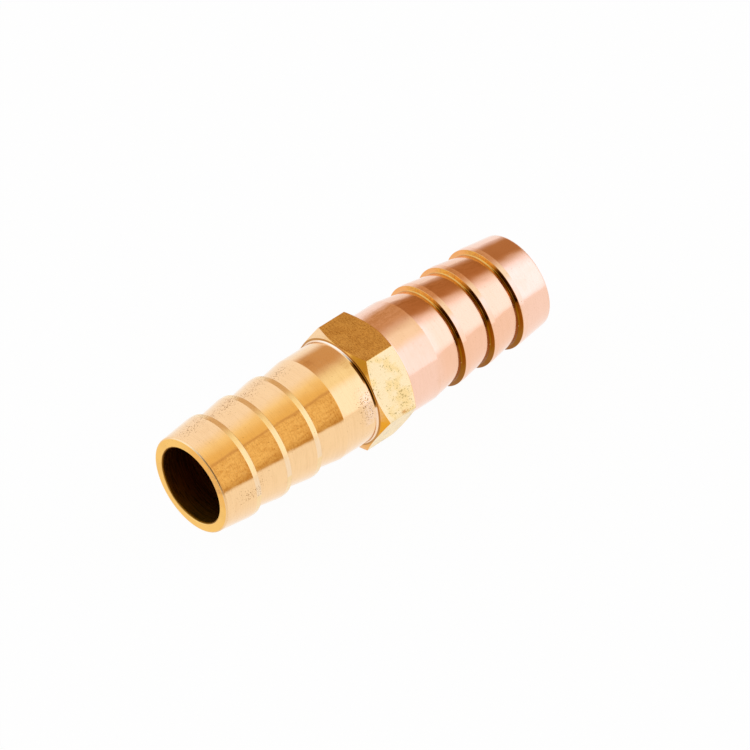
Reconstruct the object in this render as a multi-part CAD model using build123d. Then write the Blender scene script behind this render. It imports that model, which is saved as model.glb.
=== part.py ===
from build123d import *
import math
import os

# Straight hose connector with a barbed tail at each end, turned from one length of hexagon bar.
# Millimetres. The bore runs along X, +Z is up and the origin is in the middle of the bore.
# The connector lies on one flat of its hexagon, so two of the flats are level.

# Driving dimensions across the axis. Each step stands on the one before it, from the bore out.
bore_diameter = 10.5
wall_under_barbs = 1.2
tip_wall = 1.3
barb_height = 0.65
shoulder_height = 0.4

# Driving dimensions along the axis
first_barb_edge = 5.3
barb_count = 3
barb_pitch = 5.0
barb_land = 0.75
shank_length = 5.15
hexagon_width = 5.6

# Angles, chamfers and rounded corners
barb_back_angle = 15.0
hexagon_sides = 6
hexagon_chamfer_angle = 30.0
bore_mouth_chamfer = 0.15
barb_root_chamfer = 0.15
hexagon_root_chamfer = 0.35
tip_edge_fillet = 0.3
hexagon_corner_fillet = 0.15
largest_share_of_wall = 0.9

# Sizes that follow from those above
bore_radius = bore_diameter / 2
tip_radius = bore_radius + tip_wall
root_radius = bore_radius + wall_under_barbs
tail_radius = root_radius + barb_height
flat_distance = tail_radius + shoulder_height
corner_distance = flat_distance / math.cos(math.pi / hexagon_sides)
chamfer_depth = (corner_distance - flat_distance) * math.tan(math.radians(hexagon_chamfer_angle))
barb_back_run = barb_height * math.tan(math.radians(barb_back_angle))
tail_length = first_barb_edge + barb_count * barb_pitch - barb_land + shank_length
overall_length = 2 * tail_length + hexagon_width


def tail_point(distance_from_tip, radius):
    """Point of the half-section, given by its distance from the +X tip and from the axis."""
    return (overall_length / 2 - distance_from_tip, radius)


def barb_points(number):
    """Land start, land edge and root of one barb, counted from 0 at the tip."""
    edge = first_barb_edge + number * barb_pitch
    land_start = tail_point(edge - barb_land, tail_radius)
    land_edge = tail_point(edge, tail_radius)
    root = tail_point(edge + barb_back_run, root_radius)
    return land_start, land_edge, root


def corners_at(section, points):
    """The corners of the half-section that lie at these points."""
    near = 1e-4
    return [
        vertex
        for vertex in section.vertices()
        if any(math.dist((vertex.X, vertex.Y), point) < near for point in points)
    ]


def within(wall, size):
    """The size of a fillet or a chamfer, kept to what the wall beside it leaves room for."""
    return min(size, largest_share_of_wall * wall)


def half_section():
    """Half-section from the middle of the hexagon to the +X tip, with its corners relieved."""
    barbs = [barb_points(number) for number in range(barb_count)]
    barb_roots = [root for _, _, root in barbs]
    tip = tail_point(0, tip_radius)
    hexagon_root = tail_point(tail_length, tail_radius)
    outline = [
        (0, bore_radius),
        tail_point(bore_mouth_chamfer, bore_radius),
        tail_point(0, bore_radius + bore_mouth_chamfer),
        tip,
        *[point for barb in barbs for point in barb],
        tail_point(tail_length - shank_length, tail_radius),
        hexagon_root,
        tail_point(tail_length, flat_distance),
        tail_point(tail_length + chamfer_depth, corner_distance),
        (0, corner_distance),
    ]
    tip_fillet = within(tip_wall - bore_mouth_chamfer, tip_edge_fillet)
    barb_chamfer = within(barb_height, barb_root_chamfer)
    shoulder_chamfer = within(shoulder_height, hexagon_root_chamfer)
    section = make_face(Polyline(*outline, close=True))
    section = fillet(corners_at(section, [tip]), tip_fillet)
    section = chamfer(corners_at(section, barb_roots), barb_chamfer)
    return chamfer(corners_at(section, [hexagon_root]), shoulder_chamfer)


def hexagon_bar():
    """The bar that the connector is turned from, along X, with its long edges slightly rounded."""
    outline = RegularPolygon(radius=flat_distance, side_count=hexagon_sides, major_radius=False)
    outline = fillet(outline.vertices(), hexagon_corner_fillet)
    across = Plane(origin=(0, 0, 0), x_dir=(0, 1, 0), z_dir=(1, 0, 0))
    return extrude(across * outline, amount=overall_length, both=True)


def connector_body():
    """The whole connector: the turned shape, kept only where it lies inside the bar."""
    half = revolve(half_section(), axis=Axis.X)
    turned = half + mirror(half, about=Plane.YZ)
    return turned & hexagon_bar()


os.makedirs("parts", exist_ok=True)
export_step(connector_body(), "parts/connector_body.step")
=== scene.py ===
"""Looks of a straight brass hose connector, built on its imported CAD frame.

Lengths in the dataclasses are millimetres; the meshes are made in metres.
The bore runs along X, +Z is up and the origin is in the middle of the bore.
"""

import enum
import logging
import math
from dataclasses import dataclass, field

import bmesh
import bpy
from mathutils import Matrix, Vector


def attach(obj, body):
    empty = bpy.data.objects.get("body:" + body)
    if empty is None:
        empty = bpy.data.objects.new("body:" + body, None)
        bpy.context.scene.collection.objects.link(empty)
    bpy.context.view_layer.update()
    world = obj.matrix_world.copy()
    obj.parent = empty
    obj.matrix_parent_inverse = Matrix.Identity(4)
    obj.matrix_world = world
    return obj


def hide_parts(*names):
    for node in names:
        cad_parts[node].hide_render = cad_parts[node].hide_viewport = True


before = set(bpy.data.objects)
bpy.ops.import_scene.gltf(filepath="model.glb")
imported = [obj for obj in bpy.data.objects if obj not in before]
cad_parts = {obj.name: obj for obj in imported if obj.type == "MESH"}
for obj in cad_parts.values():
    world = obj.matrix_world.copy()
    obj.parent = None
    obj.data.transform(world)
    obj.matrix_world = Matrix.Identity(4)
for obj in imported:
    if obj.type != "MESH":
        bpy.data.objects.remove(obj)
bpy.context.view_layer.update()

MM = 0.001
BODY_NODE = "connector_body"
GEOMETRY_TREE = "GeometryNodeTree"
WHITE = (1.0, 1.0, 1.0)
DEGREES = math.degrees(1.0)
QUARTER_TURN = 90.0
MIX_FIRST = 6
MIX_SECOND = 7
MIX_RESULT = 2
log = logging.getLogger("hose_connector")


class Value:
    """A number socket that can be used in Python expressions.

    Each expression adds its Math nodes to the tree of the socket.
    """

    def __init__(self, graph: "Graph", socket: bpy.types.NodeSocket) -> None:
        """Wraps a socket.

        Args:
            graph: the graph that new Math nodes go to.
            socket: the output socket to wrap.
        """
        self.graph = graph
        self.socket = socket

    def math(self, operation: str, *others: "Value | float") -> "Value":
        """Adds a Math node after this value.

        Args:
            operation: name of the Math node's operation.
            others: what follows this value in the node's sockets.

        Returns:
            The node's result.
        """
        return self.graph.value("ShaderNodeMath", {"operation": operation}, [self, *others])

    def __add__(self, other: "Value | float") -> "Value":
        """Sum."""
        return self.math("ADD", other)

    def __radd__(self, other: float) -> "Value":
        """Sum with a plain number first."""
        return self.math("ADD", other)

    def __sub__(self, other: "Value | float") -> "Value":
        """Difference."""
        return self.math("SUBTRACT", other)

    def __rsub__(self, other: float) -> "Value":
        """Difference from a plain number."""
        return self.graph.value("ShaderNodeMath", {"operation": "SUBTRACT"}, [other, self])

    def __mul__(self, other: "Value | float") -> "Value":
        """Product."""
        return self.math("MULTIPLY", other)

    def __rmul__(self, other: float) -> "Value":
        """Product with a plain number first."""
        return self.math("MULTIPLY", other)

    def __truediv__(self, other: "Value | float") -> "Value":
        """Quotient."""
        return self.math("DIVIDE", other)

    def ease(self, low: float, high: float, before: float, after: float) -> "Value":
        """Passes smoothly from one level to another.

        Args:
            low: where the passage starts.
            high: where it ends.
            before: the level up to low.
            after: the level from high on.

        Returns:
            The level.
        """
        settings = {"interpolation_type": "SMOOTHSTEP"}
        return self.graph.value("ShaderNodeMapRange", settings, [self, low, high, before, after])

    def step(self, low: float, high: float, top: float = 1.0) -> "Value":
        """0 before low, top after high and a smooth step between."""
        return self.ease(low, high, 0.0, top)

    def fall(self, low: float, high: float, top: float = 1.0) -> "Value":
        """Top before low, 0 after high and a smooth step between."""
        return self.ease(low, high, top, 0.0)

    def window(self, low: float, high: float, blur: float, high_blur: float = 0.0) -> "Value":
        """Marks a stretch with soft edges.

        Args:
            low: lower edge.
            high: upper edge.
            blur: half the width of the lower edge.
            high_blur: half the width of the upper edge, 0 for the same as the lower.

        Returns:
            1 between the edges and 0 outside them.
        """
        high_blur = high_blur or blur
        return self.step(low - blur, low + blur) * self.fall(high - high_blur, high + high_blur)


class Graph:
    """A node tree with one method that adds any node."""

    def __init__(self, tree: bpy.types.NodeTree) -> None:
        """Starts on a tree.

        Args:
            tree: the tree that nodes are added to.
        """
        self.tree = tree

    def add(self, kind: str, settings: dict, inputs: "list | dict") -> bpy.types.Node:
        """Adds a node.

        Args:
            kind: the node's type.
            settings: its properties, set before its sockets.
            inputs: values or links, in the sockets' order or by name. None leaves a socket alone.

        Returns:
            The node.
        """
        node = self.tree.nodes.new(kind)
        for name, setting in settings.items():
            setattr(node, name, setting)
        pairs = inputs.items() if isinstance(inputs, dict) else enumerate(inputs)
        for key, value in pairs:
            if value is not None:
                self.feed(node.inputs[key], value)
        return node

    def feed(self, socket: bpy.types.NodeSocket, value: object) -> None:
        """Links or sets an input socket.

        Args:
            socket: the input socket.
            value: what it gets: a link, a number, a vector or a colour without its alpha.
        """
        if isinstance(value, Value):
            self.tree.links.new(value.socket, socket)
        elif isinstance(value, bpy.types.NodeSocket):
            self.tree.links.new(value, socket)
        elif socket.type == "RGBA":
            socket.default_value = (*value, 1.0)
        else:
            socket.default_value = value

    def value(self, kind: str, settings: dict, inputs: "list | dict") -> Value:
        """Adds a node and wraps its first output."""
        return Value(self, self.add(kind, settings, inputs).outputs[0])

    def mix(self, factor: "Value | float", first: object, second: object) -> bpy.types.NodeSocket:
        """Mixes two colours.

        Args:
            factor: 0 for the first colour, 1 for the second.
            first: a colour or a link.
            second: a colour or a link.

        Returns:
            The mixed colour.
        """
        sockets = {0: factor, MIX_FIRST: first, MIX_SECOND: second}
        node = self.add("ShaderNodeMix", {"data_type": "RGBA"}, sockets)
        return node.outputs[MIX_RESULT]


@dataclass(frozen=True)
class BoreSizes:
    """Sizes of the bore."""

    radius: float = 5.25
    mouth_chamfer: float = 0.15


@dataclass(frozen=True)
class TailSizes:
    """Sizes of a barbed tail, measured from its tip."""

    tip_radius: float = 6.55
    tip_fillet: float = 0.3
    root_radius: float = 6.45
    land_radius: float = 7.1
    first_edge: float = 5.3
    barbs: int = 3
    pitch: float = 5.0
    land: float = 0.75
    back_angle: float = 15.0
    edge_fillet: float = 0.05
    root_fillet: float = 0.2
    shank: float = 5.15

    @property
    def length(self) -> float:
        """From the tip to the hexagon."""
        return self.first_edge + self.barbs * self.pitch - self.land + self.shank

    @property
    def back_run(self) -> float:
        """How far along the axis a barb's leaning back reaches."""
        return (self.land_radius - self.root_radius) * math.tan(math.radians(self.back_angle))


@dataclass(frozen=True)
class HexagonSizes:
    """Sizes of the hexagon."""

    flat_distance: float = 7.5
    half_width: float = 2.8
    chamfer_angle: float = 30.0
    root_fillet: float = 0.35
    corner_fillet: float = 0.15
    sides: int = 6

    @property
    def half_side_angle(self) -> float:
        """Angle from the middle of a flat to its corner."""
        return math.pi / self.sides

    @property
    def corner_distance(self) -> float:
        """Distance of a sharp corner from the axis."""
        return self.flat_distance / math.cos(self.half_side_angle)

    @property
    def rounded_corner(self) -> float:
        """Distance of a rounded corner from the axis."""
        return self.corner_distance - self.corner_fillet * (1 / math.cos(self.half_side_angle) - 1)

    @property
    def chamfer_depth(self) -> float:
        """How far along the axis the chamfer reaches at a corner."""
        rise = self.corner_distance - self.flat_distance
        return rise * math.tan(math.radians(self.chamfer_angle))


@dataclass(frozen=True)
class Fillet:
    """Arc that rounds the corner of a profile; points are (along the axis, from the axis)."""

    centre: tuple
    radius: float
    start_angle: float
    end_angle: float
    start: tuple
    end: tuple

    @classmethod
    def at(cls, before: tuple, corner: tuple, after: tuple, radius: float) -> "Fillet":
        """Rounds a corner.

        Args:
            before: a point on the line that comes in.
            corner: the sharp corner.
            after: a point on the line that goes out.
            radius: radius of the rounding.

        Returns:
            The arc that touches both lines.
        """
        apex = Vector(corner)
        back = (Vector(before) - apex).normalized()
        ahead = (Vector(after) - apex).normalized()
        half = back.angle(ahead) / 2
        start = apex + back * (radius / math.tan(half))
        end = apex + ahead * (radius / math.tan(half))
        centre = apex + (back + ahead).normalized() * (radius / math.sin(half))
        first = math.atan2(start.y - centre.y, start.x - centre.x)
        turn = math.atan2(end.y - centre.y, end.x - centre.x) - first
        turn = (turn + math.pi) % (2 * math.pi) - math.pi
        return cls(tuple(centre), radius, first, first + turn, tuple(start), tuple(end))


class SurfaceKind(enum.Enum):
    """Ways in which a turned strip follows its profile."""

    LINE = "turned line"
    ARC = "turned arc"


class TurnedGroups:
    """Node groups that turn one line or one arc of a profile round the X axis."""

    def __init__(self) -> None:
        """Builds both groups."""
        self.groups = {kind: self.build(kind) for kind in SurfaceKind}

    def build(self, kind: SurfaceKind) -> bpy.types.NodeTree:
        """Builds one group.

        Args:
            kind: the profile that the strip follows.

        Returns:
            The group.
        """
        tree = bpy.data.node_groups.new(kind.value, GEOMETRY_TREE)
        graph = Graph(tree)
        names = {
            SurfaceKind.LINE: ["Start along", "Start radius", "End along", "End radius"],
            SurfaceKind.ARC: ["Centre along", "Centre radius", "Arc radius", "From", "To"],
        }[kind]
        for name in names:
            tree.interface.new_socket(name, in_out="INPUT", socket_type="NodeSocketFloat")
        for name in ("Steps", "Sides"):
            tree.interface.new_socket(name, in_out="INPUT", socket_type="NodeSocketInt")
        tree.interface.new_socket("Mesh", in_out="OUTPUT", socket_type="NodeSocketGeometry")
        source = graph.add("NodeGroupInput", {}, [])
        sizes = [Value(graph, source.outputs[name]) for name in names]
        steps = Value(graph, source.outputs["Steps"])
        sides = Value(graph, source.outputs["Sides"])
        grid = graph.add("GeometryNodeMeshGrid", {}, [1.0, 1.0, steps + 1.0, sides + 1.0])
        position = graph.add("GeometryNodeInputPosition", {}, [])
        parts = graph.add("ShaderNodeSeparateXYZ", {}, [position.outputs[0]])
        across = Value(graph, parts.outputs[0]) + 0.5
        around = (Value(graph, parts.outputs[1]) + 0.5) * (2 * math.pi)
        if kind is SurfaceKind.LINE:
            start_along, start_radius, end_along, end_radius = sizes
            along = start_along + (end_along - start_along) * across
            radius = start_radius + (end_radius - start_radius) * across
        else:
            centre_along, centre_radius, arc_radius, first, last = sizes
            angle = first + (last - first) * across
            along = centre_along + arc_radius * angle.math("COSINE")
            radius = centre_radius + arc_radius * angle.math("SINE")
        point = [along, radius * around.math("COSINE"), radius * around.math("SINE")]
        place = graph.add("ShaderNodeCombineXYZ", {}, point)
        moved = graph.add("GeometryNodeSetPosition", {}, [grid.outputs[0], None, place.outputs[0]])
        target = graph.add("NodeGroupOutput", {}, [])
        tree.links.new(moved.outputs[0], target.inputs[0])
        return tree


class Profile:
    """Half-section of the connector, drawn stretch by stretch into a Geometry Nodes tree."""

    def __init__(self, graph: Graph, groups: TurnedGroups, sides: Value) -> None:
        """Starts an empty profile.

        Args:
            graph: the tree's graph.
            groups: the groups that turn a line or an arc.
            sides: number of steps round the axis.
        """
        self.graph = graph
        self.groups = groups
        self.sides = sides
        self.strips: list[bpy.types.NodeSocket] = []

    def stretch(self, kind: SurfaceKind, sizes: list, steps: int) -> None:
        """Adds a turned strip.

        Args:
            kind: line or arc.
            sizes: the group's sizes in metres, or angles.
            steps: faces along the profile.
        """
        settings = {"node_tree": self.groups.groups[kind]}
        node = self.graph.add("GeometryNodeGroup", settings, [*sizes, steps, self.sides])
        self.strips.append(node.outputs[0])

    def line(self, start: tuple, end: tuple, steps: int = 1) -> None:
        """Adds a straight stretch.

        Args:
            start: first point, in millimetres.
            end: last point, in millimetres.
            steps: faces along it.
        """
        self.stretch(SurfaceKind.LINE, [size * MM for size in (*start, *end)], steps)

    def arc(self, fillet: Fillet, steps: int) -> None:
        """Adds a rounding.

        Args:
            fillet: the arc, in millimetres.
            steps: faces along it.
        """
        lengths = [size * MM for size in (*fillet.centre, fillet.radius)]
        self.stretch(SurfaceKind.ARC, [*lengths, fillet.start_angle, fillet.end_angle], steps)

    def joined(self) -> bpy.types.NodeSocket:
        """All the strips so far as one geometry."""
        node = self.graph.add("GeometryNodeJoinGeometry", {}, [])
        for strip in reversed(self.strips):
            self.graph.tree.links.new(strip, node.inputs[0])
        return node.outputs[0]


@dataclass
class TurnedBody:
    """The connector's one piece: a turned half-section, cut to the hexagon and mirrored."""

    bore: BoreSizes = field(default_factory=BoreSizes)
    tail: TailSizes = field(default_factory=TailSizes)
    hexagon: HexagonSizes = field(default_factory=HexagonSizes)
    steps_round: int = 240
    steps_in_fillet: int = 16
    steps_in_small_fillet: int = 12
    steps_in_edge: int = 4
    steps_in_bore: int = 24
    steps_in_end_face: int = 2
    steps_in_taper: int = 4
    steps_in_shank: int = 4
    steps_in_bar: int = 3
    weld_distance: float = 0.0002
    sharp_angle: float = 6.4
    name: str = "connector_body_turned"
    named_sizes: dict = field(default_factory=dict)

    @property
    def half_length(self) -> float:
        """From the middle to a tip."""
        return self.tail.length + self.hexagon.half_width

    def from_tip(self, distance: float, radius: float) -> tuple:
        """Point of the half-section at a distance from the +X tip."""
        return (self.half_length - distance, radius)

    def draw_bore_and_nose(self, profile: Profile) -> None:
        """Bore, mouth, rounded tip and the first taper.

        Args:
            profile: the profile to draw in.
        """
        tail = self.tail
        mouth = self.bore.radius + self.bore.mouth_chamfer
        inner = self.from_tip(self.bore.mouth_chamfer, self.bore.radius)
        tip = self.from_tip(0, tail.tip_radius)
        land_start = self.from_tip(tail.first_edge - tail.land, tail.land_radius)
        rounding = Fillet.at(self.from_tip(0, mouth), tip, land_start, tail.tip_fillet)
        profile.line((0.0, self.bore.radius), inner, self.steps_in_bore)
        profile.line(inner, self.from_tip(0, mouth))
        profile.line(self.from_tip(0, mouth), rounding.start, self.steps_in_end_face)
        profile.arc(rounding, self.steps_in_fillet)
        profile.line(rounding.end, land_start, self.steps_in_taper)

    def draw_barb(self, profile: Profile) -> None:
        """The first barb: its land, edge, back and root, and the taper that follows.

        Args:
            profile: the profile to draw in.
        """
        tail = self.tail
        land_start = self.from_tip(tail.first_edge - tail.land, tail.land_radius)
        edge = self.from_tip(tail.first_edge, tail.land_radius)
        root = self.from_tip(tail.first_edge + tail.back_run, tail.root_radius)
        next_land = self.from_tip(tail.first_edge + tail.pitch - tail.land, tail.land_radius)
        rounded_edge = Fillet.at(land_start, edge, root, tail.edge_fillet)
        rounded_root = Fillet.at(edge, root, next_land, tail.root_fillet)
        profile.line(land_start, rounded_edge.start)
        profile.arc(rounded_edge, self.steps_in_edge)
        profile.line(rounded_edge.end, rounded_root.start)
        profile.arc(rounded_root, self.steps_in_small_fillet)
        profile.line(rounded_root.end, next_land, self.steps_in_taper)

    def draw_shank_and_hexagon(self, profile: Profile) -> None:
        """Plain shank, root of the hexagon, its chamfer and the bar up to the middle.

        Args:
            profile: the profile to draw in.
        """
        tail, hexagon = self.tail, self.hexagon
        shank_start = self.from_tip(tail.length - tail.shank, tail.land_radius)
        root = self.from_tip(tail.length, tail.land_radius)
        face = self.from_tip(tail.length, hexagon.flat_distance)
        rounding = Fillet.at(shank_start, root, face, hexagon.root_fillet)
        bar = (hexagon.half_width - hexagon.chamfer_depth, hexagon.corner_distance)
        profile.line(shank_start, rounding.start, self.steps_in_shank)
        profile.arc(rounding, self.steps_in_fillet)
        profile.line(rounding.end, face)
        profile.line(face, bar)
        profile.line(bar, (0.0, hexagon.corner_distance), self.steps_in_bar)

    def cut_to_hexagon(
        self, graph: Graph, mesh: bpy.types.NodeSocket, flat: Value, half_width: Value
    ) -> bpy.types.NodeSocket:
        """Moves the bar's points on to the flats, and its edge on to the curves of the chamfer.

        Args:
            graph: the tree's graph.
            mesh: the turned half.
            flat: distance of a flat from the axis.
            half_width: half the width of the hexagon.

        Returns:
            The half with its hexagon.
        """
        hexagon = self.hexagon
        position = graph.add("GeometryNodeInputPosition", {}, [])
        parts = graph.add("ShaderNodeSeparateXYZ", {}, [position.outputs[0]])
        x, y, z = (Value(graph, parts.outputs[axis]) for axis in range(3))
        side = 2 * hexagon.half_side_angle
        turn = z.math("ARCTAN2", y)
        off_middle = turn.math("WRAP", side, 0.0) - hexagon.half_side_angle
        limit = (flat / off_middle.math("COSINE")).math("MINIMUM", hexagon.rounded_corner * MM)
        edge = half_width - (limit - flat) * math.tan(math.radians(hexagon.chamfer_angle))
        bar_end = (hexagon.half_width - hexagon.chamfer_depth) * MM
        radius = (y * y + z * z).math("SQRT")
        between = (hexagon.flat_distance + hexagon.corner_distance) / 2 * MM
        on_bar = graph.value("FunctionNodeCompare", {"operation": "GREATER_THAN"}, [radius, between])
        corner = [x * edge / bar_end, limit * turn.math("COSINE"), limit * turn.math("SINE")]
        place = graph.add("ShaderNodeCombineXYZ", {}, corner)
        node = graph.add("GeometryNodeSetPosition", {}, [mesh, on_bar, place.outputs[0]])
        return node.outputs[0]

    def build_tree(self, material: bpy.types.Material) -> bpy.types.NodeTree:
        """Builds the Geometry Nodes tree.

        Args:
            material: the finish that the tree sets.

        Returns:
            The tree of the whole body.
        """
        tree = bpy.data.node_groups.new("turned body", GEOMETRY_TREE)
        graph = Graph(tree)
        tree.interface.new_socket("Geometry", in_out="INPUT", socket_type="NodeSocketGeometry")
        named = {
            "Barbs": ("NodeSocketInt", self.tail.barbs),
            "Pitch": ("NodeSocketFloat", self.tail.pitch * MM),
            "Sides": ("NodeSocketInt", self.steps_round),
            "Flat distance": ("NodeSocketFloat", self.hexagon.flat_distance * MM),
            "Half width": ("NodeSocketFloat", self.hexagon.half_width * MM),
        }
        for name, (kind, _) in named.items():
            tree.interface.new_socket(name, in_out="INPUT", socket_type=kind)
        tree.interface.new_socket("Geometry", in_out="OUTPUT", socket_type="NodeSocketGeometry")
        source = graph.add("NodeGroupInput", {}, [])
        inputs = [Value(graph, source.outputs[name]) for name in named]
        barbs, pitch, sides, flat, half_width = inputs
        groups = TurnedGroups()
        ends = Profile(graph, groups, sides)
        self.draw_bore_and_nose(ends)
        self.draw_shank_and_hexagon(ends)
        barb = Profile(graph, groups, sides)
        self.draw_barb(barb)
        offset = graph.add("ShaderNodeCombineXYZ", {}, [pitch * -1.0, 0.0, 0.0])
        start = (0.0, 0.0, 0.0)
        places = graph.add("GeometryNodeMeshLine", {}, [barbs, None, start, offset.outputs[0]])
        row = graph.add("GeometryNodeInstanceOnPoints", {}, [places.outputs[0], None, barb.joined()])
        real_row = graph.add("GeometryNodeRealizeInstances", {}, [row.outputs[0]])
        ends.strips.append(real_row.outputs[0])
        half = self.cut_to_hexagon(graph, ends.joined(), flat, half_width)
        other = graph.add("GeometryNodeTransform", {}, {"Geometry": half, "Scale": (-1.0, 1.0, 1.0)})
        both = graph.add("GeometryNodeJoinGeometry", {}, [])
        tree.links.new(half, both.inputs[0])
        tree.links.new(other.outputs[0], both.inputs[0])
        halves = {"Geometry": both.outputs[0], "Distance": self.weld_distance * MM}
        welded = graph.add("GeometryNodeMergeByDistance", {}, halves)
        real = graph.add("GeometryNodeRealizeInstances", {}, [welded.outputs[0]])
        dressed = graph.add("GeometryNodeSetMaterial", {}, {"Geometry": real.outputs[0]})
        dressed.inputs["Material"].default_value = material
        target = graph.add("NodeGroupOutput", {}, [])
        tree.links.new(dressed.outputs[0], target.inputs[0])
        self.named_sizes = {name: size for name, (_, size) in named.items()}
        return tree

    def build(self, material: bpy.types.Material) -> bpy.types.Object:
        """Makes the piece and puts it in place of the CAD node.

        Args:
            material: its finish.

        Returns:
            The piece.
        """
        tree = self.build_tree(material)
        carrier = bpy.data.objects.new("body carrier", bpy.data.meshes.new("body carrier"))
        bpy.context.scene.collection.objects.link(carrier)
        modifier = carrier.modifiers.new("turned body", "NODES")
        modifier.node_group = tree
        for item in tree.interface.items_tree:
            if item.in_out == "INPUT" and item.name in self.named_sizes:
                modifier[item.identifier] = self.named_sizes[item.name]
        bpy.context.view_layer.update()
        evaluated = carrier.evaluated_get(bpy.context.evaluated_depsgraph_get())
        mesh = bpy.data.meshes.new_from_object(evaluated)
        carrier.modifiers.remove(modifier)
        bpy.data.objects.remove(carrier)
        mesh.name = self.name
        self.finish_mesh(mesh)
        piece = bpy.data.objects.new(self.name, mesh)
        bpy.context.scene.collection.objects.link(piece)
        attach(piece, "root")
        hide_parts(BODY_NODE)
        log.info("%s: %d faces", piece.name, len(mesh.polygons))
        return piece

    def finish_mesh(self, mesh: bpy.types.Mesh) -> None:
        """Welds the mesh, turns its faces outwards and marks its sharp edges.

        Args:
            mesh: the mesh to finish.
        """
        work = bmesh.new()
        work.from_mesh(mesh)
        bmesh.ops.remove_doubles(work, verts=work.verts, dist=self.weld_distance * MM)
        bmesh.ops.dissolve_degenerate(work, edges=work.edges, dist=self.weld_distance * MM)
        bmesh.ops.recalc_face_normals(work, faces=work.faces)
        open_edges = sum(1 for edge in work.edges if not edge.is_manifold)
        work.to_mesh(mesh)
        work.free()
        mesh.shade_smooth()
        mesh.set_sharp_from_angle(angle=math.radians(self.sharp_angle))
        log.info("%s: %d open edges", self.name, open_edges)


@dataclass(frozen=True)
class Patch:
    """A stretch of the turned surface, in millimetres along X and degrees round it.

    Angles run from +Y over +Z, so 90 is the top.
    """

    along: tuple
    around: tuple
    along_blur: float = 0.6
    around_blur: float = 8.0
    weight: float = 1.0


@dataclass(frozen=True)
class Noise:
    """A noise texture. The larger the stretch along an axis, the shorter its marks along it."""

    stretch: tuple
    scale: float
    detail: float


@dataclass(frozen=True)
class BrassTints:
    """Colours of the brass, of what lies on it, and of the highlights, reflections and shade painted
    on it.
    """

    near: tuple = (0.97, 0.64, 0.33)
    # Painted light: the far half, and its tapers more deeply, are tinted pinker to stand in for the
    # pinkish light on that half
    far: tuple = (0.975, 0.625, 0.475)
    far_barbs: tuple = (0.955, 0.56, 0.375)
    # Painted highlights on the lands: paler on the near lands, palest on their lower side, and paler
    # on one side of the far lands
    land: tuple = (0.995, 0.725, 0.35)
    painted_land_highlight: tuple = (1.0, 0.78, 0.54)
    painted_far_land_highlight: tuple = (0.985, 0.76, 0.66)
    # Painted reflection of the barb backs on the far tapers beside their roots
    glow: tuple = (0.66, 0.34, 0.07)
    flat: tuple = (0.90, 0.70, 0.41)
    # Painted reflections on the hexagon: the lower -Y flat is tinted yellower and the top flat darker
    # orange; the top's streaks and scuffs are its own marks
    painted_low_flat_reflection: tuple = (0.97, 0.68, 0.22)
    top: tuple = (0.92, 0.57, 0.16)
    # Hexagon chamfer: darker towards the bottom as painted shade, paler on the +Y side as a painted
    # highlight
    chamfer: tuple = (0.86, 0.43, 0.08)
    painted_low_chamfer_shade: tuple = (0.84, 0.36, 0.02)
    painted_chamfer_highlight: tuple = (0.96, 0.66, 0.38)
    # End faces: darker on the upper -Y side as painted shade
    face: tuple = (1.0, 0.59, 0.145)
    painted_face_shade: tuple = (0.94, 0.47, 0.09)
    edge: tuple = (0.74, 0.35, 0.09)
    # Barb backs: painted reflections, gold with random speckles and lighter on the upper side, and
    # painted near-black shade on the -Y side and in the roots
    back: tuple = (0.90, 0.40, 0.05)
    speckled_back_reflection: tuple = (0.55, 0.23, 0.03)
    painted_upper_back_light: tuple = (0.93, 0.42, 0.15)
    painted_low_back_shade: tuple = (0.29, 0.095, 0.0)
    painted_back_shade: tuple = (0.16, 0.055, 0.0)
    painted_middle_back_shade: tuple = (0.30, 0.11, 0.01)
    # Painted glint: a pale ring on the near shank beside the hexagon
    painted_root_glint: tuple = (0.98, 0.76, 0.60)
    root_line: tuple = (0.50, 0.20, 0.01)
    # Painted dark reflection in crescents on one side of the near hexagon root
    painted_dark_crescent: tuple = (0.085, 0.028, 0.003)
    # Grain, also carrying the painted shade of the near tapers
    grain_and_shade: tuple = (0.66, 0.33, 0.10)
    dark_top: tuple = (0.50, 0.23, 0.03)
    yellow: tuple = (0.84, 0.56, 0.15)
    blush: tuple = (0.97, 0.71, 0.54)
    speck: tuple = (0.30, 0.12, 0.02)
    pit: tuple = (0.36, 0.25, 0.07)
    stain: tuple = (0.62, 0.30, 0.08)
    # Bore: dark brown as painted shade inside it; its ring marks are its own
    bore: tuple = (0.42, 0.17, 0.01)
    bore_mark: tuple = (0.16, 0.06, 0.0)


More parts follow.
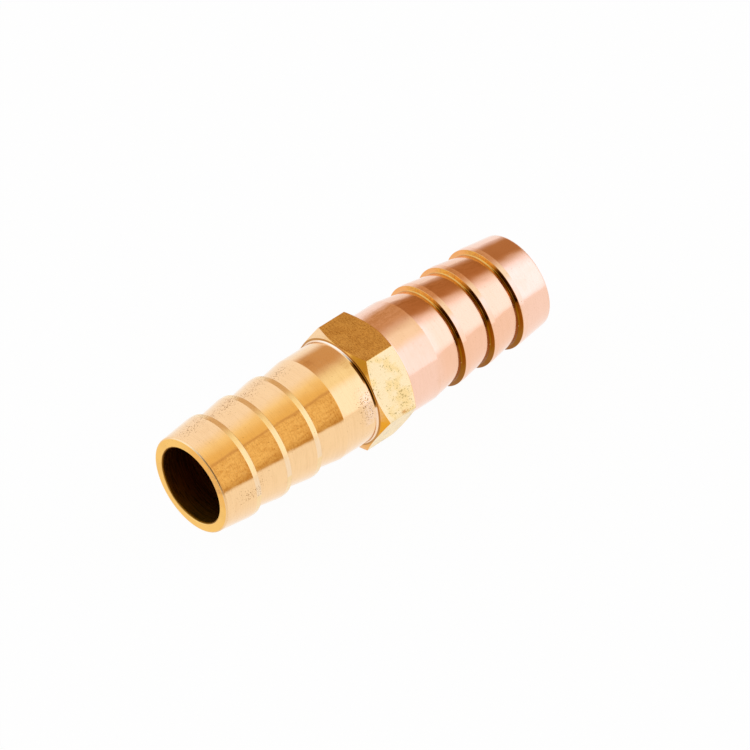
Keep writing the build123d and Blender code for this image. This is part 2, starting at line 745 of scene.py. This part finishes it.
@dataclass(frozen=True)
class BrassPlaces:
    """Where the finish and its painted light and shade change over the connector.

    Lengths are millimetres from its middle along X, out from its axis, or along X from the edge
    of the nearest barb. Sides are degrees round the X axis from +Y over +Z, so 90 is the top.
    Two values are a soft step. Three or four are a stretch: its ends and the blur of each.
    """

    half_length: float = 27.5
    flat_distance: float = 7.5
    chamfer_angle: float = 30.0
    first_edge: float = 5.3
    pitch: float = 5.0
    # The halves, the bore, the hexagon and the end faces
    far_half: tuple = (2.4, 3.2)
    bore_wall: tuple = (5.32, 5.38)
    hexagon_end: tuple = (2.78, 2.82)
    flat_level: tuple = (7.45, 7.49)
    chamfer_start: tuple = (2.75, 2.79)
    top_level: tuple = (7.40, 7.46)
    end_face: tuple = (27.44, 27.48)
    rim: tuple = (27.1, 27.3)
    minus_y_half: tuple = (-1.0, 1.0)
    lower_half: tuple = (-0.3, 0.1)
    # The barbs
    tail: tuple = (7.9, 8.1)
    near_tail: tuple = (-8.1, -7.9)
    barbs: tuple = (11.0, 22.7, 0.1)
    far_barbs: tuple = (8.2, 22.3, 1.4, 0.1)
    far_tapers: tuple = (8.0, 22.2, 0.2)
    lands: tuple = (8.1, 23.0, 0.05)
    land: tuple = (4.21, 4.29)
    barb_edge: tuple = (4.93, 4.97)
    back: tuple = (0.15, 0.21)
    root: tuple = (0.16, 0.36, 0.03)
    wider_back_side: tuple = (98.0, 116.0)
    wider_back: float = 0.16
    # Sides and heights of the painted light and painted shade on the barb backs and roots
    painted_upper_back_light_side: tuple = (50.0, 74.0)
    painted_middle_back_shade_side: tuple = (114.0, 134.0, 5.0, 5.0)
    painted_lower_back_shade_height: tuple = (2.7, 4.0, 1.3, 0.6)
    painted_low_back_shade_height: tuple = (3.3, 4.4)
    painted_root_shade_side: tuple = (107.0, 147.0, 5.0, 6.0)
    painted_far_land_highlight_side: tuple = (104.0, 140.0, 10.0, 12.0)
    # The painted reflection beside the roots of the far barbs, and the shade and the grained
    # stretches of the near tapers
    short_root_reflection: tuple = (0.3, 0.95, 0.55)
    long_root_reflection: tuple = (0.3, 1.7, 0.4)
    long_root_reflection_side: tuple = (98.0, 122.0)
    shaded_end: tuple = (3.4, 4.25, 1.8, 0.04)
    shaded_end_side: tuple = (136.0, 157.0, 14.0, 3.0)
    shaded_line_side: tuple = (152.0, 157.0, 6.0, 1.5)
    shaded_line: float = 0.8
    most_shade: float = 1.2
    grained_side: tuple = (124.0, 156.5, 2.0, 2.0)
    # The corner between the shanks and the hexagon
    # Ring of painted glint on the near shank beside the hexagon
    ring_start: tuple = (2.795, 2.805)
    ring_end: tuple = (3.0, 3.2)
    root_line: tuple = (2.79, 2.86, 0.01)
    root_line_level: tuple = (7.5, 7.54)


@dataclass(frozen=True)
class BrassMarks:
    """Marks on the brass: their noise, the levels at which they show and where they gather.

    Two values are a soft step of the noise, and a third is how much of the mark shows above it.
    """

    cloud: Noise = Noise((0.5, 0.5, 0.5), 1.0, 3.0)
    streaks: Noise = Noise((1 / 0.12, 2.2, 2.2), 1.0, 4.0)
    rings: Noise = Noise((1 / 0.16, 2.6, 2.6), 1.0, 4.0)
    scuffs: Noise = Noise((2.0, 1.0, 1.0), 3.6, 3.0)
    strokes: Noise = Noise((0.7, 2.2, 2.2), 1.2, 3.0)
    wave: Noise = Noise((0.3, 0.5, 0.5), 1.0, 1.0)
    specks: Noise = Noise((1.0, 1.0, 1.0), 6.5, 2.0)
    pits: Noise = Noise((1.0, 1.0, 1.0), 3.8, 5.0)
    smudged_scuffs: tuple = (0.36, 0.62, 0.4)
    smudged_strokes: tuple = (0.44, 0.60, 0.6)
    blushed_scuffs: tuple = (0.3, 0.6)
    stained_scuffs: tuple = (0.34, 0.52)
    speck_level: tuple = (0.70, 0.76)
    worn_specks: float = 0.14
    grained_specks: float = 0.03
    pit_level: tuple = (0.58, 0.71)
    clouded_pits: float = 0.5
    worn_patches: tuple = (
        Patch((-5.6, -3.0), (140.0, 178.0), 0.9, 14.0),
        Patch((-27.0, -9.0), (56.0, 78.0), 1.0, 12.0),
        Patch((-25.6, -21.0), (164.0, 183.0), 1.2, 8.0, 0.85),
    )
    smudge_patches: tuple = (
        Patch((-7.8, -6.4), (74.0, 90.0), 0.5, 7.0),
        Patch((-4.4, -3.3), (100.0, 116.0), 0.4, 6.0),
        Patch((3.0, 22.5), (66.0, 94.0), 0.5, 12.0),
    )
    # Where the painted dark reflection lies at the near hexagon root
    painted_root_crescent_patches: tuple = (
        Patch((-3.26, -2.85), (112.0, 134.0), 0.04, 5.0),
        Patch((-3.08, -2.85), (112.0, 162.0), 0.04, 4.0),
    )
    blush_patch: Patch = Patch((-4.6, -3.0), (142.0, 180.0), 0.8, 10.0)
    stain_patch: Patch = Patch((0.0, 0.9), (176.8, 179.2), 0.35, 1.1)


@dataclass(frozen=True)
class BrassFinish:
    """Bare turned brass: its gloss, and how strongly its tints, painted light and shade, and marks
    show.

    Two values are a soft step, and a third is how much shows above it. A single value is how
    much shows. Bump depth is in millimetres.
    """

    tints: BrassTints = BrassTints()
    places: BrassPlaces = BrassPlaces()
    marks: BrassMarks = BrassMarks()
    # Gloss
    roughness: float = 0.12
    flat_roughness: float = 0.22
    bore_roughness: float = 0.42
    rougher_rim: float = 0.22
    rougher_land: float = 0.11
    rougher_marks: float = 0.12
    rougher_specks: float = 0.2
    bump: float = 0.12
    bump_depth: float = 0.02
    wave_height: float = 20.0
    coat: float = 0.55
    coat_roughness: float = 0.1
    less_coat_on_flats: float = 0.7
    less_coat_on_far_half: float = 0.6
    # Tints of the lands, the hexagon and the backs, most of them painted highlights, reflections and
    # shade
    land: float = 0.65
    painted_land_highlight_side: tuple = (150.0, 162.0)
    painted_far_land_highlight: float = 0.5
    painted_chamfer_shade_height: tuple = (-1.0, 2.0)
    painted_chamfer_highlight_side: tuple = (0.8, 3.2)
    painted_face_shade_height: tuple = (-1.5, 3.0)
    edge: float = 0.25
    more_edge_on_far_half: float = 0.6
    speckled_back_reflection: tuple = (0.38, 0.62, 0.6)
    painted_upper_back_light: float = 0.85
    painted_middle_back_shade: float = 0.85
    root_glint_share: float = 0.65
    # Grain
    grain_rings: tuple = (0.45, 0.65)
    ring_grain: float = 0.05
    near_ring_grain: float = 0.05
    taper_ring_grain: float = 0.09
    grain_scuffs: tuple = (0.40, 0.66, 0.36)
    grain_strokes: tuple = (0.45, 0.65, 0.3)
    grain_clouds: tuple = (0.5, 0.8, 0.10)
    shade_grain: float = 0.5
    smudge_grain: float = 0.5
    # Marks
    blush: float = 0.85
    top_streaks: tuple = (0.44, 0.62, 0.42)
    top_scuffs: tuple = (0.42, 0.66, 0.40)
    top_clouds: tuple = (0.45, 0.62, 0.16)
    yellow_clouds: tuple = (0.45, 0.62, 0.45)
    pits: float = 0.7
    painted_crescent_rim: tuple = (0.02, 0.4, 0.9)
    painted_crescent_core: tuple = (0.2, 1.0, 0.95)
    root_line: float = 0.9
    specks: float = 0.8
    bore_rings: tuple = (0.4, 0.7)

    def build(self, name: str) -> bpy.types.Material:
        """Builds the material.

        Args:
            name: its name.

        Returns:
            The material.
        """
        material = bpy.data.materials.new(name)
        material.use_nodes = True
        material.node_tree.nodes.clear()
        graph = Graph(material.node_tree)
        spot = BrassSpot(graph, self.places, self.marks)
        mark = spot.rings * (1.0 - spot.on_flat) + spot.streaks * spot.on_flat
        height = mark + spot.wave * self.wave_height
        relief = {"Strength": self.bump, "Distance": self.bump_depth * MM, "Height": height}
        sockets = {
            "Base Color": self.colour(graph, spot),
            "Metallic": 1.0,
            "Roughness": self.rough(spot, mark),
            "Normal": graph.add("ShaderNodeBump", {}, relief).outputs[0],
            "Coat Weight": self.plain(spot) * self.coat,
            "Coat Roughness": self.coat_roughness,
        }
        surface = graph.add("ShaderNodeBsdfPrincipled", {}, sockets)
        graph.add("ShaderNodeOutputMaterial", {}, [surface.outputs[0]])
        return material

    def rough(self, spot: "BrassSpot", mark: Value) -> Value:
        """Roughens the brass by where it is and by its marks.

        Args:
            spot: masks and marks.
            mark: height of the rings and the streaks.

        Returns:
            The roughness.
        """
        rough = self.roughness + spot.on_flat * (self.flat_roughness - self.roughness)
        rough = rough + (mark - 0.5) * self.rougher_marks + spot.specks * self.rougher_specks
        rough = rough + spot.in_bore * (self.bore_roughness - self.roughness)
        rough = rough + spot.on_rim * self.rougher_rim
        return rough + spot.on_land * (1.0 - spot.far) * self.rougher_land

    def plain(self, spot: "BrassSpot") -> Value:
        """Finds the round parts that are free of marks.

        Args:
            spot: masks and marks.

        Returns:
            1 where the clear layer is whole and 0 where there is none.
        """
        plain = 1.0 - spot.on_flat * self.less_coat_on_flats
        bare = [spot.on_back, spot.in_bore, spot.on_chamfer, spot.on_rim]
        bare = bare + [spot.at_painted_root_glint, spot.painted_root_crescent, spot.specks]
        for mask in bare:
            plain = plain * (1.0 - mask)
        return plain * (1.0 - spot.far * self.less_coat_on_far_half)

    def colour(self, graph: Graph, spot: "BrassSpot") -> bpy.types.NodeSocket:
        """Tints the brass by where it is, paints highlights, reflections and shade on it, and adds
        its marks, one layer over the other.

        Args:
            graph: the material's graph.
            spot: masks and marks.

        Returns:
            The base colour.
        """
        tints = self.tints
        near = 1.0 - spot.far
        land = graph.mix(spot.angle.step(*self.painted_land_highlight_side), tints.land, tints.painted_land_highlight)
        # Chamfer: painted shade below, painted highlight on the +Y side
        chamfer = graph.mix(spot.z.step(*self.painted_chamfer_shade_height), tints.painted_low_chamfer_shade, tints.chamfer)
        chamfer = graph.mix(spot.y.step(*self.painted_chamfer_highlight_side), chamfer, tints.painted_chamfer_highlight)
        back = graph.mix(spot.scuffs.step(*self.speckled_back_reflection), tints.back, tints.speckled_back_reflection)
        back = graph.mix(spot.painted_upper_back_light * self.painted_upper_back_light, back, tints.painted_upper_back_light)
        # End faces: painted shade on the upper -Y side
        in_painted_face_shade = spot.on_minus_y * spot.z.step(*self.painted_face_shade_height)
        face = graph.mix(in_painted_face_shade, tints.face, tints.painted_face_shade)
        # Bore: painted shade, with its own ring marks
        bore = graph.mix(spot.rings.step(*self.bore_rings), tints.bore, tints.bore_mark)
        below_top = spot.on_flat * (1.0 - spot.on_top)
        layers = [
            # Lands: painted highlights
            (spot.on_land * near * self.land, land),
            # Far tapers: deeper pink tint, painted light
            (spot.on_far_barbs, tints.far_barbs),
            (spot.on_land * spot.far * spot.on_far_land_highlight * self.painted_far_land_highlight, tints.painted_far_land_highlight),
            # Painted reflection beside the far roots
            (spot.painted_reflection_beside_root, tints.glow),
            (spot.on_chamfer, chamfer),
            (spot.on_flat, tints.flat),
            # Lower and top flats: painted reflections
            (spot.on_flat * spot.below, tints.painted_low_flat_reflection),
            (spot.on_top, tints.top),
            (spot.on_edge * (self.edge + spot.far * self.more_edge_on_far_half), tints.edge),
            # Barb backs and roots: painted reflections and painted shade
            (spot.on_back, back),
            (spot.on_back * spot.painted_low_back_shade, tints.painted_low_back_shade),
            (spot.on_back * spot.painted_lower_back_shade, tints.painted_back_shade),
            (spot.on_back * spot.painted_middle_back_shade * self.painted_middle_back_shade, tints.painted_middle_back_shade),
            (spot.in_root * spot.in_painted_root_shade, tints.painted_back_shade),
            (spot.on_face, face),
            # Painted glint ring at the near hexagon root
            (spot.at_painted_root_glint * self.root_glint_share, tints.painted_root_glint),
            (self.grain_and_shade(spot), tints.grain_and_shade),
            (spot.blush * self.blush, tints.blush),
            (self.dark_marks(spot) * spot.on_top, tints.dark_top),
            (spot.cloud.step(*self.yellow_clouds) * below_top, tints.yellow),
            (spot.pits * spot.on_flat * self.pits, tints.pit),
            (spot.stain * spot.on_flat, tints.stain),
            # Painted dark reflection at the near hexagon root: a rim and a near-black core
            (spot.painted_root_crescent.step(*self.painted_crescent_rim), tints.root_line),
            (spot.painted_root_crescent.step(*self.painted_crescent_core), tints.painted_dark_crescent),
            (spot.on_root_line * self.root_line, tints.root_line),
            (spot.specks * self.specks, tints.speck),
            (spot.in_bore, bore),
        ]
        # Yellow brass on the near half; the far half's pinker tint is painted light
        colour = graph.mix(spot.far, tints.near, tints.far)
        for mask, tint in layers:
            colour = graph.mix(mask, colour, tint)
        return colour

    def grain_and_shade(self, spot: "BrassSpot") -> Value:
        """Adds up what darkens the bare metal: rings, scuffs, strokes, clouds, painted shade and
        smudges.

        Args:
            spot: masks and marks.

        Returns:
            How much of the grain's tint shows.
        """
        share = self.ring_grain + (1.0 - spot.far) * self.near_ring_grain
        share = share + spot.grained * self.taper_ring_grain
        rings = spot.rings.step(*self.grain_rings) * (1.0 - spot.on_flat) * share
        scuffs = spot.scuffs.step(*self.grain_scuffs) + spot.strokes.step(*self.grain_strokes)
        shade = spot.shaded * self.shade_grain + spot.smudge * self.smudge_grain
        return rings + scuffs * spot.grained + spot.cloud.step(*self.grain_clouds) + shade

    def dark_marks(self, spot: "BrassSpot") -> Value:
        """Adds up the marks of the top flat.

        Args:
            spot: masks and marks.

        Returns:
            How much of the top's dark tint shows.
        """
        lines = spot.streaks.step(*self.top_streaks) + spot.scuffs.step(*self.top_scuffs)
        return lines + spot.cloud.step(*self.top_clouds)


class BrassSpot:
    """Where a point of the brass is and what marks it carries, as values between 0 and 1."""

    def __init__(self, graph: Graph, places: BrassPlaces, marks: BrassMarks) -> None:
        """Finds every mask and mark.

        Args:
            graph: the material's graph.
            places: where the finish changes.
            marks: the marks.
        """
        self.graph = graph
        self.places = places
        self.marks = marks
        place = graph.add("ShaderNodeTexCoord", {}, []).outputs["Object"]
        to_mm = {0: place, "Scale": 1 / MM}
        scaled = graph.add("ShaderNodeVectorMath", {"operation": "SCALE"}, to_mm)
        parts = graph.add("ShaderNodeSeparateXYZ", {}, [scaled.outputs[0]])
        self.x, self.y, self.z = (Value(graph, parts.outputs[axis]) for axis in range(3))
        self.radius = (self.y * self.y + self.z * self.z).math("SQRT")
        self.turn = self.z.math("ARCTAN2", self.y)
        self.angle = self.turn * DEGREES
        self.distance = self.x.math("ABSOLUTE")
        self.find_hexagon_and_ends()
        self.find_barbs()
        self.find_backs()
        self.find_shade()
        self.find_hexagon_root()
        self.find_marks()

    def find_hexagon_and_ends(self) -> None:
        """Halves, bore, hexagon, end faces and sides."""
        places = self.places
        self.far = self.x.step(*places.far_half)
        self.in_bore = self.radius.fall(*places.bore_wall)
        on_hexagon = self.distance.fall(*places.hexagon_end) * self.radius.step(*places.flat_level)
        slope = math.tan(math.radians(places.chamfer_angle))
        reach = self.distance + (self.radius - places.flat_distance) * slope
        self.on_chamfer = on_hexagon * reach.step(*places.chamfer_start)
        self.on_flat = on_hexagon * (1.0 - self.on_chamfer)
        self.on_top = self.on_flat * self.z.step(*places.top_level)
        self.on_face = self.distance.step(*places.end_face)
        self.on_rim = self.distance.step(*places.rim)
        self.on_minus_y = self.y.fall(*places.minus_y_half)
        self.below = self.on_minus_y * self.z.fall(*places.lower_half)

    def find_barbs(self) -> None:
        """Lands, edges and roots of the barbs, the painted highlight of the far lands, and the
        painted reflection beside the far roots.
        """
        places = self.places
        first_edge = places.half_length - places.first_edge
        self.from_edge = (first_edge - self.distance).math("WRAP", places.pitch, 0.0)
        self.on_barbs = self.distance.window(*places.barbs)
        self.on_far_barbs = self.x.window(*places.far_barbs)
        self.on_land = self.from_edge.step(*places.land) * self.distance.window(*places.lands)
        self.on_edge = self.from_edge.step(*places.barb_edge) * self.on_barbs
        self.in_root = self.from_edge.window(*places.root) * self.on_barbs
        # Side of the far lands that carries a painted highlight
        self.on_far_land_highlight = self.angle.window(*places.painted_far_land_highlight_side)
        self.in_painted_root_shade = self.angle.window(*places.painted_root_shade_side)
        # Painted reflection of the barb backs on the tapers beside the far roots, kept off the lower
        # -Y side
        long_root_reflection = self.from_edge.fall(*places.long_root_reflection) * self.angle.fall(*places.long_root_reflection_side)
        glow = self.from_edge.fall(*places.short_root_reflection) + long_root_reflection
        self.painted_reflection_beside_root = glow * self.x.window(*places.far_tapers) * (1.0 - self.below)

    def find_backs(self) -> None:
        """Backs of the barbs, and the parts of them that carry painted reflections and painted shade.
        """
        places = self.places
        wider = self.angle.step(*places.wider_back_side).math("MAXIMUM", self.below)
        past_edge = self.from_edge - wider * places.wider_back
        self.on_back = past_edge.fall(*places.back) * self.on_barbs
        self.painted_upper_back_light = self.angle.fall(*places.painted_upper_back_light_side)
        self.painted_middle_back_shade = self.angle.window(*places.painted_middle_back_shade_side)
        self.painted_lower_back_shade = self.on_minus_y * self.z.window(*places.painted_lower_back_shade_height)
        self.painted_low_back_shade = self.on_minus_y * self.z.fall(*places.painted_low_back_shade_height)

    def find_shade(self) -> None:
        """Shaded and grained sides of the near tapers."""
        places = self.places
        on_taper = self.distance.step(*places.tail) * (1.0 - self.on_land)
        on_near_taper = self.x.fall(*places.near_tail) * on_taper
        end_side = self.angle.window(*places.shaded_end_side)
        shade = self.from_edge.window(*places.shaded_end) * end_side
        shade = shade + self.angle.window(*places.shaded_line_side) * places.shaded_line
        self.shaded = on_near_taper * shade.math("MINIMUM", places.most_shade)
        self.grained = on_near_taper * self.angle.window(*places.grained_side)

    def find_hexagon_root(self) -> None:
        """Painted glint ring, dark line and painted dark reflection in the corner between the shanks
        and the hexagon.
        """
        places = self.places
        ring = self.distance.step(*places.ring_start) * self.distance.fall(*places.ring_end)
        self.at_painted_root_glint = ring * (1.0 - self.far)
        line = self.distance.window(*places.root_line) * self.radius.fall(*places.root_line_level)
        self.on_root_line = line * (1.0 - self.in_bore)
        self.painted_root_crescent = self.patches(self.marks.painted_root_crescent_patches)

    def find_marks(self) -> None:
        """Noise of the surface, and the smudges, specks, pits, blush and stain made from it."""
        marks = self.marks
        here = (self.x, self.y, self.z)
        round_axis = (self.x, self.turn.math("COSINE"), self.turn.math("SINE"))
        below_top = 1.0 - self.on_top
        self.cloud = self.noise(marks.cloud, here)
        self.streaks = self.noise(marks.streaks, here)
        self.rings = self.noise(marks.rings, round_axis)
        self.scuffs = self.noise(marks.scuffs, here)
        self.strokes = self.noise(marks.strokes, here)
        self.wave = self.noise(marks.wave, here)
        mottle = self.scuffs.step(*marks.smudged_scuffs) + self.strokes.step(*marks.smudged_strokes)
        self.smudge = self.patches(marks.smudge_patches) * mottle
        worn = self.patches(marks.worn_patches) * marks.worn_specks
        specked = self.noise(marks.specks, here) + worn + self.grained * marks.grained_specks
        self.specks = specked.step(*marks.speck_level) * below_top
        pitted = self.noise(marks.pits, here) + (self.cloud - 0.5) * marks.clouded_pits
        self.pits = pitted.step(*marks.pit_level) * below_top
        self.blush = self.patch(marks.blush_patch) * self.scuffs.step(*marks.blushed_scuffs)
        self.stain = self.patch(marks.stain_patch) * self.scuffs.step(*marks.stained_scuffs)

    def noise(self, noise: Noise, point: tuple) -> Value:
        """Adds a noise texture.

        Args:
            noise: its stretch, scale and detail.
            point: the three values that it is read at.

        Returns:
            Noise between 0 and 1.
        """
        places = [value * stretch for value, stretch in zip(point, noise.stretch)]
        spot = self.graph.add("ShaderNodeCombineXYZ", {}, places)
        inputs = {"Vector": spot.outputs[0], "Scale": noise.scale, "Detail": noise.detail}
        return self.graph.value("ShaderNodeTexNoise", {}, inputs)

    def patch(self, patch: Patch) -> Value:
        """Marks one stretch with soft edges.

        Args:
            patch: the stretch.

        Returns:
            Its weight inside it and 0 outside.
        """
        along = self.x.window(*patch.along, patch.along_blur) * patch.weight
        return along * self.angle.window(*patch.around, patch.around_blur)

    def patches(self, patches: tuple) -> Value:
        """Marks several stretches.

        Args:
            patches: the stretches.

        Returns:
            The highest of their values.
        """
        total = self.patch(patches[0])
        for patch in patches[1:]:
            total = total.math("MAXIMUM", self.patch(patch))
        return total


@dataclass(frozen=True)
class Panel:
    """A soft panel or a dark gap of the studio, as seen from the connector.

    Height is the angle round the X axis: 0 towards +Y, 90 upwards and 180 towards -Y.
    Lean is the share of the direction that points along +X.
    """

    name: str
    colour: tuple
    height: tuple
    lean: tuple
    height_blur: tuple = (2.0, 2.0)
    lean_blur: float = 0.05


@dataclass
class Studio:
    """World light: a pale room with soft panels and darker gaps, each laid over those before."""

    room: tuple = (1.0, 1.0, 1.04)
    panels: tuple = (
        Panel("pale ceiling", (0.99, 0.86, 0.53), (74.0, 118.0), (-0.5, 0.42), (16.0, 1.5)),
        Panel("gold ceiling", (0.88, 0.64, 0.25), (96.0, 118.0), (-0.5, 0.42), (15.0, 1.5)),
        Panel("back ceiling", (1.0, 0.98, 0.75), (70.0, 126.0), (0.42, 0.60), (16.0, 12.0)),
        Panel("back gap", (0.63, 0.39, 0.19), (11.0, 80.0), (0.42, 1.2), (16.0, 20.0)),
        Panel("deep gap", (0.44, 0.215, 0.075), (6.0, 70.0), (0.60, 1.2), (20.0, 12.0)),
        Panel("key panel", (1.20, 1.24, 1.36), (120.0, 182.0), (0.38, 0.64), (12.0, 5.0), 0.06),
        Panel("key panel top", (1.27, 1.43, 1.70), (97.0, 178.0), (0.60, 1.2), (17.0, 12.0), 0.06),
        Panel("front panel", (0.94, 0.71, 0.31), (118.0, 184.0), (-0.5, 0.38), (1.5, 1.5), 0.04),
        Panel("front panel end", (0.76, 0.54, 0.21), (168.0, 184.0), (-0.5, 0.38), (12.0, 1.5), 0.04),
        Panel("panel rim", (0.66, 0.42, 0.17), (116.0, 121.0), (-0.4, 0.38), (1.5, 1.5), 0.04),
        Panel("high window", (1.12, 1.36, 1.72), (0.0, 92.0), (-0.80, -0.06), (8.0, 8.0), 0.06),
        Panel("dark end", (0.05, 0.03, 0.012), (72.0, 190.0), (-0.90, -0.30), (24.0, 6.0), 0.08),
        Panel("left wall", (0.60, 0.50, 0.20), (-200.0, 400.0), (-1.2, -0.95), (2.0, 2.0), 0.02),
    )

    def build(self) -> None:
        """Makes the world."""
        world = bpy.data.worlds.new("studio")
        bpy.context.scene.world = world
        world.use_nodes = True
        world.node_tree.nodes.clear()
        graph = Graph(world.node_tree)
        direction = graph.add("ShaderNodeTexCoord", {}, []).outputs["Generated"]
        parts = graph.add("ShaderNodeSeparateXYZ", {}, [direction])
        lean, y, z = (Value(graph, parts.outputs[axis]) for axis in range(3))
        height = (0.0 - y).math("ARCTAN2", z) * DEGREES + QUARTER_TURN
        colour: object = self.room
        for panel in self.panels:
            mask = height.window(*panel.height, *panel.height_blur)
            mask = mask * lean.window(*panel.lean, panel.lean_blur)
            colour = graph.mix(mask, colour, panel.colour)
        light = graph.add("ShaderNodeBackground", {}, [colour, 1.0])
        graph.add("ShaderNodeOutputWorld", {}, [light.outputs[0]])


@dataclass
class WhiteFloor:
    """White table under the connector, with a faint soft shadow.

    Glow is the share of plain white in what the camera and the brass see of it.
    """

    half_size: float = 3000.0
    level: float = -7.5
    colour: tuple = (0.96, 0.96, 0.96)
    glow: float = 0.97

    def build(self) -> None:
        """Makes the floor."""
        corners = [(-1, -1), (1, -1), (1, 1), (-1, 1)]
        mesh = bpy.data.meshes.new("floor")
        reach, level = self.half_size * MM, self.level * MM
        points = [(x * reach, y * reach, level) for x, y in corners]
        mesh.from_pydata(points, [], [(0, 1, 2, 3)])
        mesh.materials.append(self.material())
        floor = bpy.data.objects.new("floor", mesh)
        bpy.context.scene.collection.objects.link(floor)

    def material(self) -> bpy.types.Material:
        """White that the camera and the brass see as lit paper, and that keeps the shadow."""
        material = bpy.data.materials.new("white table")
        material.use_nodes = True
        material.node_tree.nodes.clear()
        graph = Graph(material.node_tree)
        path = graph.add("ShaderNodeLightPath", {}, [])
        seen = Value(graph, path.outputs["Is Camera Ray"])
        for name in ("Is Glossy Ray", "Is Transmission Ray"):
            seen = seen.math("MAXIMUM", Value(graph, path.outputs[name]))
        paper = graph.add("ShaderNodeBsdfDiffuse", {}, [self.colour])
        white = graph.add("ShaderNodeEmission", {}, [WHITE, 1.0])
        shaders = [seen * self.glow, paper.outputs[0], white.outputs[0]]
        both = graph.add("ShaderNodeMixShader", {}, shaders)
        graph.add("ShaderNodeOutputMaterial", {}, [both.outputs[0]])
        return material


@dataclass
class PhotoCamera:
    """Camera at the photo's place, from the fit to the connector's edges.

    Nearest and farthest say what it sees, as shares of its distance.
    """

    aim: tuple = (2.538, -0.798, 0.0)
    distance: float = 672.57
    azimuth: float = -132.543
    elevation: float = 42.119
    roll: float = -0.72
    lens: float = 259.2
    sensor: float = 36.0
    nearest: float = 0.1
    farthest: float = 100.0

    def build(self) -> None:
        """Makes the camera and uses it."""
        azimuth = math.radians(self.azimuth)
        elevation = math.radians(self.elevation)
        level = math.cos(elevation)
        away = Vector((level * math.cos(azimuth), level * math.sin(azimuth), math.sin(elevation)))
        data = bpy.data.cameras.new("camera")
        data.lens = self.lens
        data.sensor_width = self.sensor
        data.clip_start = self.distance * MM * self.nearest
        data.clip_end = self.distance * MM * self.farthest
        camera = bpy.data.objects.new("camera", data)
        bpy.context.scene.collection.objects.link(camera)
        turn = away.to_track_quat("Z", "Y").to_matrix().to_4x4()
        tilt = Matrix.Rotation(math.radians(self.roll), 4, "Z")
        place = Matrix.Translation((Vector(self.aim) + away * self.distance) * MM)
        camera.matrix_world = place @ turn @ tilt
        bpy.context.scene.camera = camera


def main() -> None:
    """Builds the connector, its floor, its light and its camera."""
    logging.basicConfig(level=logging.INFO, format="%(name)s: %(message)s")
    bpy.context.scene.view_settings.view_transform = "Standard"
    brass = BrassFinish().build("turned brass")
    TurnedBody().build(brass)
    WhiteFloor().build()
    Studio().build()
    PhotoCamera().build()


if __name__ == "__main__":
    main()
